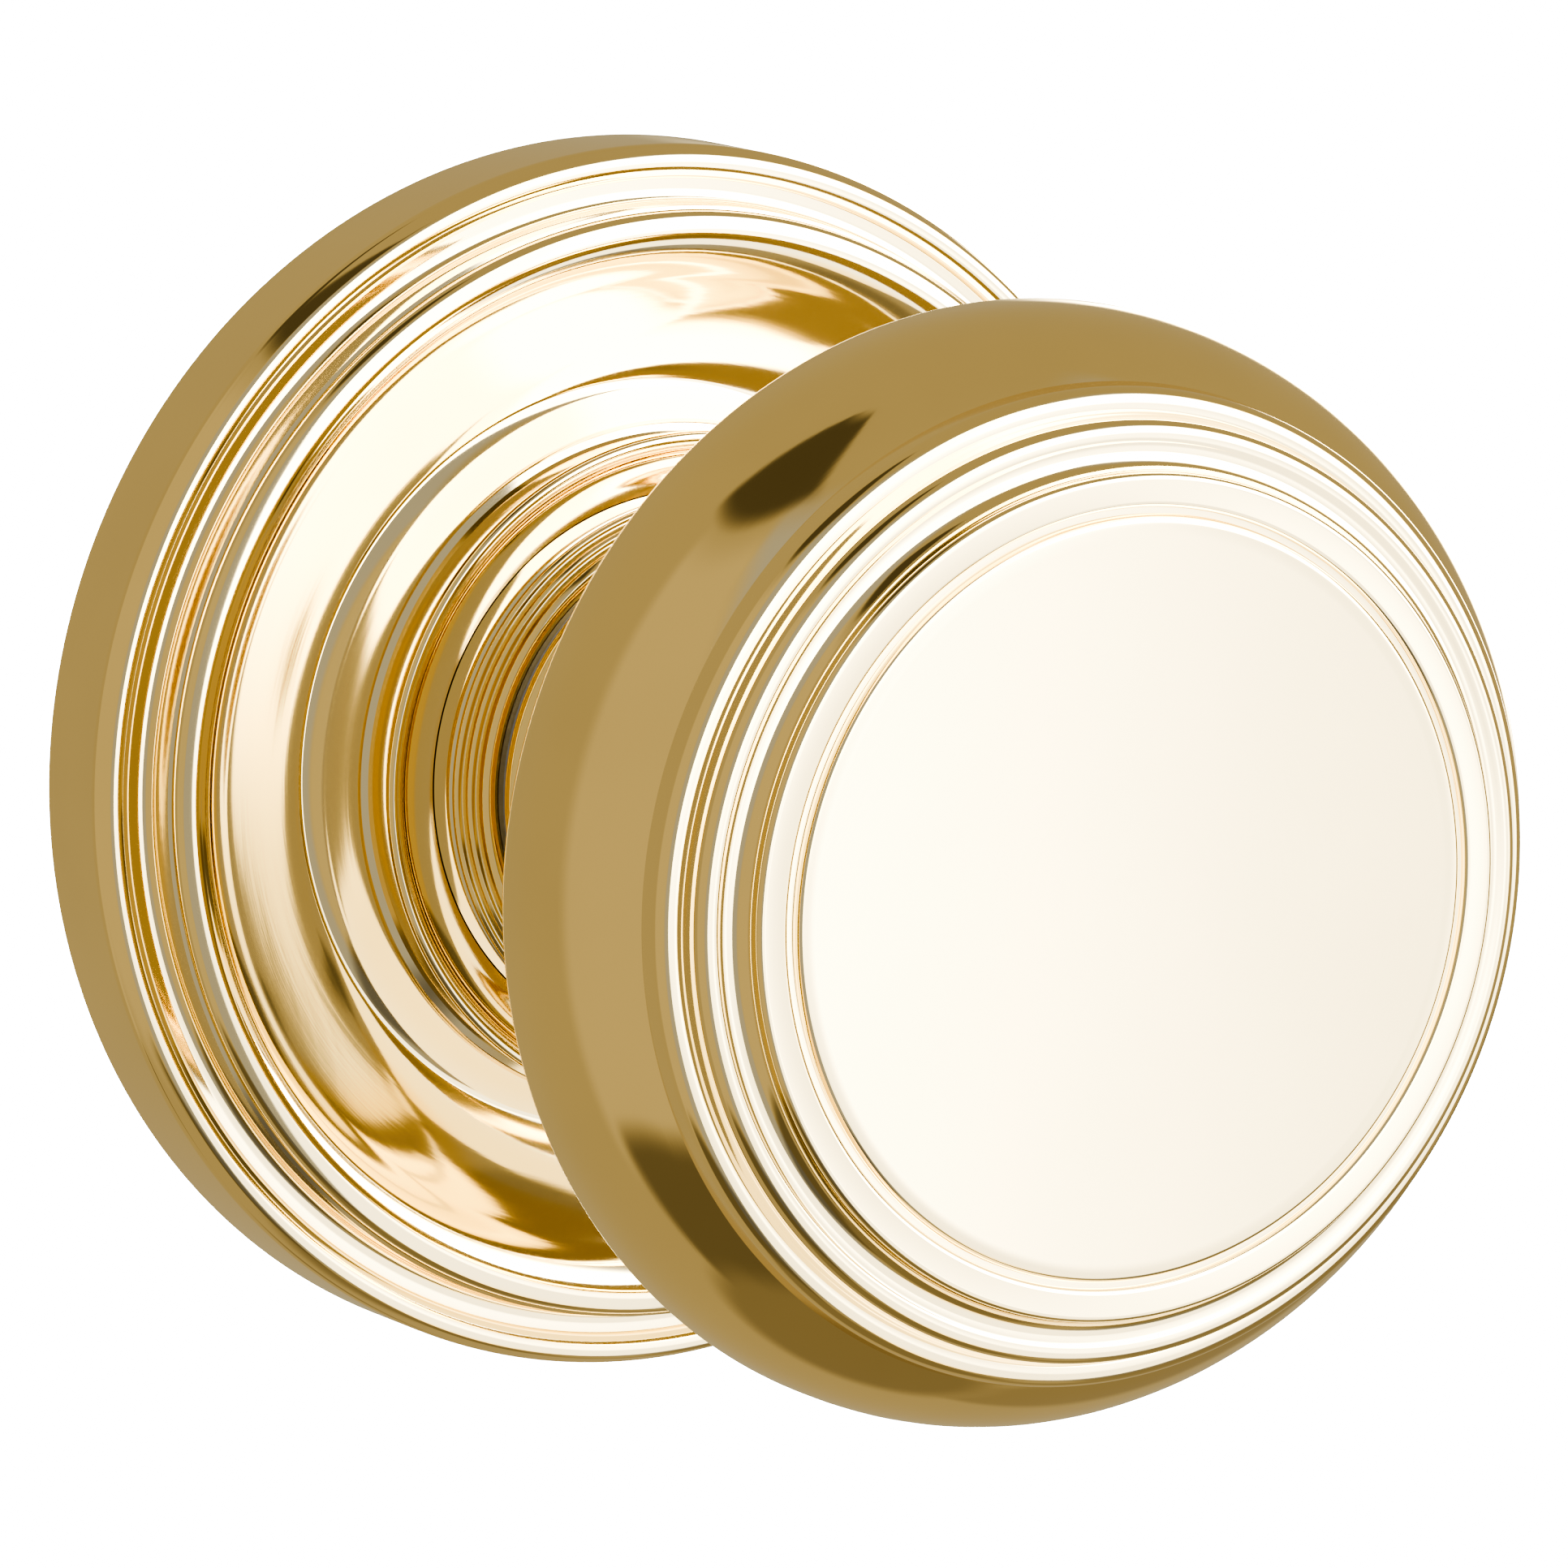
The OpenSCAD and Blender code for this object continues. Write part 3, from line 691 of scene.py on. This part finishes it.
class KNOB_OT_shank(bpy.types.Operator):
    """Turn the shank, broach its square socket, mill its flats and tap its side"""

    bl_idname = "knob.shank"
    bl_label = "Shank"

    def execute(self, context):
        piece = turned("beaded_shank", shank_outline(context.scene.knob_sizes), "polished_brass")
        tail_end = back_of("knob_shank")
        half = radius_of("spindle") + 0.08
        low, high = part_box("shank_grub_screw")
        grub_r, grub_z = (high.x - low.x) / 2 / MM, -(high.y + low.y) / 2 / MM
        tail_r = radius_of("neck_bush") - 4.05
        flat, cam_front = tail_r - 1.3, front_of("drive_cam")
        socket = block("socket", (-half, -half, tail_end - 1), (half, half, front_of("spindle") + 1.5))
        above = block("flat_above", (-tail_r, flat, tail_end - 1), (tail_r, tail_r + 1, cam_front))
        below = block("flat_below", (-tail_r, -tail_r - 1, tail_end - 1), (tail_r, -flat, cam_front))
        tapped = drill("tapped", grub_r, -radius_of("knob_shank") - 1, 0, grub_z)
        cut(piece, socket, above, below, tapped)
        put(piece, "knob", "knob_shank")
        return {"FINISHED"}


class KNOB_OT_spring(bpy.types.Operator):
    """Wind the return spring from round wire, with a peg at each end"""

    bl_idname = "knob.spring"
    bl_label = "Return spring"

    def execute(self, context):
        wire_r = context.scene.knob_sizes.wire / MM / 2
        coil_r = radius_of("return_spring") - wire_r
        first_peg, last_peg = front_of("return_spring"), back_of("return_spring")
        cam_front = front_of("drive_cam")
        case_floor = 2
        coil_top, coil_end = -case_floor - wire_r - 0.2, cam_front + wire_r + 0.2
        path = spring_path(coil_r, wire_r * 1.5, coil_top, coil_end, first_peg, last_peg)
        piece = wire_along("wound_spring", path, wire_r, "dark_steel")
        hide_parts("return_spring")
        at(0, 0, coil_top)
        at(0, 0, coil_end)
        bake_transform(piece)
        return {"FINISHED"}


def spring_path(coil_r, bend, coil_top, coil_end, first_peg, last_peg, steps=60):
    """The wire's centre line: from its peg in the case, round the coil, to its peg in the cam."""
    turn = math.degrees(math.asin(bend / coil_r))
    whole = 360 * SPRING_TURNS

    def on_coil(angle, out):
        """A point on the coil's cylinder."""
        a = math.radians(angle)
        return at(coil_r * math.cos(a), coil_r * math.sin(a), out)

    def corner(angle, side, out, up):
        """A quarter bend between a peg and the coil."""
        bends = [math.radians(k) for k in range(0, 90, 15)]
        return [
            on_coil(angle + side * turn * (1 - math.cos(b)), out + up * bend * (1 - math.sin(b)))
            for b in bends
        ]

    count = round(SPRING_TURNS * steps)
    coil = [
        on_coil(turn + (whole - 2 * turn) * i / count, coil_top + (coil_end - coil_top) * i / count)
        for i in range(count + 1)
    ]
    start = [on_coil(0, first_peg)] + corner(0, 1, coil_top, 1)
    end = corner(whole, -1, coil_end, -1)[::-1] + [on_coil(whole, last_peg)]
    return start + coil + end


def wire_along(name, path, radius, slot, around=20):
    """Round wire along a path about the axis."""
    points, faces = [], []
    last = len(path) - 1
    for i, place in enumerate(path):
        along = (path[min(i + 1, last)] - path[max(i - 1, 0)]).normalized()
        out = Vector((place.x, 0, place.z)).normalized()
        across = (out - along * out.dot(along)).normalized()
        up = along.cross(across)
        for k in range(around):
            a = 2 * math.pi * k / around
            points.append(place + (across * math.cos(a) + up * math.sin(a)) * radius * MM)
    for i in range(last):
        for k in range(around):
            n = (k + 1) % around
            faces.append((i * around + k, (i + 1) * around + k, (i + 1) * around + n, i * around + n))
    faces += [tuple(range(around)), tuple(last * around + k for k in range(around - 1, -1, -1))]
    piece = new_piece(name, points, faces, slot)
    face_outwards(piece)
    return piece


def finish_nodes(*slots):
    """Gives the CAD nodes of these slots their finish, unless a turned piece stands for them."""
    for part in frame["record"]["subparts"]:
        node = frame["nodes"][part["node"]]
        if part["material_slot"] in slots and not node.hide_render:
            node.data.materials.clear()
            node.data.materials.append(finish_for(part["material_slot"]))


class KNOB_OT_plated(bpy.types.Operator):
    """Plate the steel plate, posts, spindle, cam, cover, screws and disc"""

    bl_idname = "knob.plated"
    bl_label = "Plated steel"

    def execute(self, context):
        finish_nodes("plated_steel")
        return {"FINISHED"}


class KNOB_OT_dark(bpy.types.Operator):
    """Blacken the grub screws, the retaining ring and the spring washer"""

    bl_idname = "knob.dark"
    bl_label = "Black oxide steel"

    def execute(self, context):
        finish_nodes("dark_steel")
        return {"FINISHED"}


class KNOB_OT_case(bpy.types.Operator):
    """Finish the die-cast spring case and the nylon bearings"""

    bl_idname = "knob.case"
    bl_label = "Case and bearings"

    def execute(self, context):
        finish_nodes("cast_zinc", "black_nylon")
        return {"FINISHED"}


# ---- Stage ----

def zone(graph, value, low, high, soft):
    """1 between two bounds, fading out over soft at each."""
    rising = graph.smooth(value, low - soft, low + soft)
    falling = graph.smooth(value, high - soft, high + soft, 1.0, 0.0)
    return rising * falling


def studio_light():
    """A light tent: a bright oval sweep in front, warm dim walls, and dark flags above and below."""
    world = bpy.data.worlds.new("light_tent")
    world.use_nodes = True
    graph = Graph(world.node_tree)
    direction = graph.node("ShaderNodeTexCoord", None, None, "Generated")
    x, y, z = graph.parts(direction)
    side = graph.maths("ARCTAN2", x, -y) * (180 / math.pi)  # 0 in front of the door, 90 to the right
    height = graph.maths("ARCSINE", z) * (180 / math.pi)

    def angle_from(side_deg, height_deg):
        """Angle between a direction and the one given, in degrees."""
        s, h = math.radians(side_deg), math.radians(height_deg)
        towards = Vector((math.sin(s) * math.cos(h), -math.cos(s) * math.cos(h), math.sin(h)))
        cosine = x * towards.x + y * towards.y + z * towards.z
        return graph.maths("ARCCOSINE", graph.maths("MINIMUM", cosine, 0.99999)) * (180 / math.pi)

    def over(level, mask, stops):
        """Sets the light to a number of stops where the mask is 1."""
        return level + (stops - level) * mask

    def patch(side_deg, height_deg, inner, outer):
        """A round patch about a direction, 1 inside and fading out from inner to outer."""
        return graph.smooth(angle_from(side_deg, height_deg), inner, outer, 1.0, 0.0)

    level = graph.maths("ADD", x * 0.0, -1.3)  # stops of light on the tent's dim walls
    left_wall = zone(graph, side, -104, -44, 6) * zone(graph, height, -48, 54, 6)
    level = over(level, left_wall, -0.95)
    upper_flag = zone(graph, side, -118, -30, 5) * zone(graph, height, 60, 86, 3)
    level = over(level, upper_flag, -3.3)
    lower_flag = zone(graph, side, -97, -18, 6) * zone(graph, height, -78, -44, 4)
    level = over(level, lower_flag, -2.7)
    below = graph.smooth(height, -74, -66, 1.0, 0.0)
    level = over(level, below, -2.1)
    right_flag = zone(graph, side, 98, 128, 4) * zone(graph, height, -70, -16, 4)
    level = over(level, right_flag, -1.8)
    window = patch(137, 3, 9, 14)
    level = over(level, window, 3.8)
    across = (side - 25.5) / 46.5
    up = (height + 6) / 61
    from_middle = graph.maths("SQRT", across * across + up * up)
    sweep = graph.smooth(from_middle, 0.985, 1.015, 1.0, 0.0)
    level = over(level, sweep, graph.smooth(height, -30, 20, 1.2, 3.0))
    key = patch(50, 25, 22, 30)
    level = over(level, key, 3.8)
    fill = patch(34, -6, 12, 22)
    level = over(level, fill, graph.smooth(side, 22, 42, 2.5, 1.4))
    dark_corner = patch(83, -45, 14, 19)
    level = over(level, dark_corner, -1.9)
    strength = 2.0 ** level
    white = zone(graph, side, -43, 70, 5) * zone(graph, height, -60, 56, 6)
    tint = graph.blend(white, WARM_WALLS, (1.0, 1.0, 1.0))
    lit = graph.node("ShaderNodeBackground", None, {"Color": tint, "Strength": strength})
    plain = graph.node("ShaderNodeBackground", None, {"Color": (1, 1, 1, 1), "Strength": BACKDROP})
    seen = graph.node("ShaderNodeLightPath", None, None, "Is Camera Ray")
    mixed = graph.node("ShaderNodeMixShader", None, {0: seen, 1: lit, 2: plain})
    graph.node("ShaderNodeOutputWorld", None, {"Surface": mixed}, ())
    bpy.context.scene.world = world


def studio_floor(colour):
    """A wide pale floor below the object, lit from above by a lamp that the metal doesn't mirror."""
    drop, reach = -0.25, 9.0
    sides = 96
    turns = [2 * math.pi * k / sides for k in range(sides)]
    points = [Vector((reach * math.cos(a), reach * math.sin(a), drop)) for a in turns]
    floor = new_piece("studio_floor", points, [tuple(range(sides))], None, smooth=False)
    paint = bpy.data.materials.new("pale_floor")
    paint.use_nodes = True
    graph = Graph(paint.node_tree)
    place = graph.node("ShaderNodeTexCoord", None, None, "Object")
    graph.surface(
        Base_Color=graph.blend(graph.noise(place, 3.0), shade(colour, 0.985), colour),
        Roughness=0.9)
    floor.data.materials.append(paint)
    floor.visible_glossy = False
    lamp = bpy.data.lights.new("floor_lamp", "SUN")
    lamp.energy = 24.0
    lamp.angle = math.radians(60)
    overhead = bpy.data.objects.new("floor_lamp", lamp)
    overhead.visible_glossy = False
    bpy.context.scene.collection.objects.link(overhead)


def studio_camera():
    """The camera, a long way off in front, a little above and to the left of the knob."""
    data = bpy.data.cameras.new("camera")
    data.sensor_width = 36
    data.lens = 260.87
    data.clip_start, data.clip_end = 0.01, 100
    place = Vector((-0.2914, -0.5304, 0.0999))
    forward = Vector((0.4890, 0.8563, -0.1664)).normalized()
    right = forward.cross(Vector((0.0825, 0.1445, 0.9861))).normalized()
    up = right.cross(forward)
    camera = bpy.data.objects.new("camera", data)
    camera.matrix_world = Matrix.Translation(place) @ Matrix((right, up, -forward)).transposed().to_4x4()
    bpy.context.scene.collection.objects.link(camera)
    bpy.context.scene.camera = camera


class KNOB_OT_stage(bpy.types.Operator):
    """Set the camera, the light tent and the floor"""

    bl_idname = "knob.stage"
    bl_label = "Studio stage"

    def execute(self, context):
        studio_camera()
        studio_light()
        studio_floor(tuple(context.scene.knob_colours.floor))
        context.scene.view_settings.view_transform = "AgX"
        context.scene.view_settings.look = "AgX - High Contrast"
        return {"FINISHED"}


# ---- Add-on ----

MAKERS = (
    KNOB_OT_stage, KNOB_OT_rose, KNOB_OT_collar, KNOB_OT_shells, KNOB_OT_shank, KNOB_OT_spring,
    KNOB_OT_plated, KNOB_OT_dark, KNOB_OT_case,
)


class KNOB_PT_panel(bpy.types.Panel):
    """Sizes, colours and makers of the door knob"""

    bl_label = "Door knob"
    bl_idname = "KNOB_PT_panel"
    bl_space_type = "VIEW_3D"
    bl_region_type = "UI"
    bl_category = "Door knob"

    def draw(self, context):
        for group in (context.scene.knob_sizes, context.scene.knob_colours):
            column = self.layout.column(align=True)
            for name in group.__annotations__:
                column.prop(group, name)
        column = self.layout.column(align=True)
        for maker in MAKERS:
            column.operator(maker.bl_idname)


CLASSES = (KnobSizes, KnobColours, *MAKERS, KNOB_PT_panel)


def register():
    for each in CLASSES:
        bpy.utils.register_class(each)
    bpy.types.Scene.knob_sizes = PointerProperty(type=KnobSizes)
    bpy.types.Scene.knob_colours = PointerProperty(type=KnobColours)


def unregister():
    del bpy.types.Scene.knob_colours
    del bpy.types.Scene.knob_sizes
    for each in reversed(CLASSES):
        bpy.utils.unregister_class(each)


def main():
    register()
    for maker in MAKERS:
        group, name = maker.bl_idname.split(".")
        getattr(getattr(bpy.ops, group), name)()


if __name__ == "__main__":
    main()
